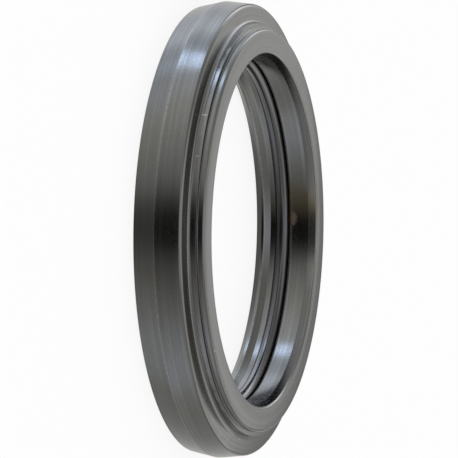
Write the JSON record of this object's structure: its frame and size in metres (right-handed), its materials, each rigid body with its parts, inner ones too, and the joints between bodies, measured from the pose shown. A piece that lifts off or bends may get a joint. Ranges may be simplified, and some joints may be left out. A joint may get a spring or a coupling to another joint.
{
  "type": "collet sealing disc",
  "caption": "Blackened steel sealing disc with a tapered rim, a stepped hub and a rubber seal ring in its bore, which closes the front of a coolant collet nut round a tool shank.",
  "frame": {"origin": "centre of the rear face, on the disc's axis", "axes": "+Z along the disc's axis, from the rear face towards the hub's front face"},
  "size_m": [0.035, 0.035, 0.005],
  "materials": {
    "black_oxide_steel": "turned, black oxide, lightly oiled",
    "seal_rubber": "smooth black nitrile"
  },
  "bodies": {
    "root": {"steel_disc": "black_oxide_steel", "seal_ring": "seal_rubber"}
  },
  "joints": []
}
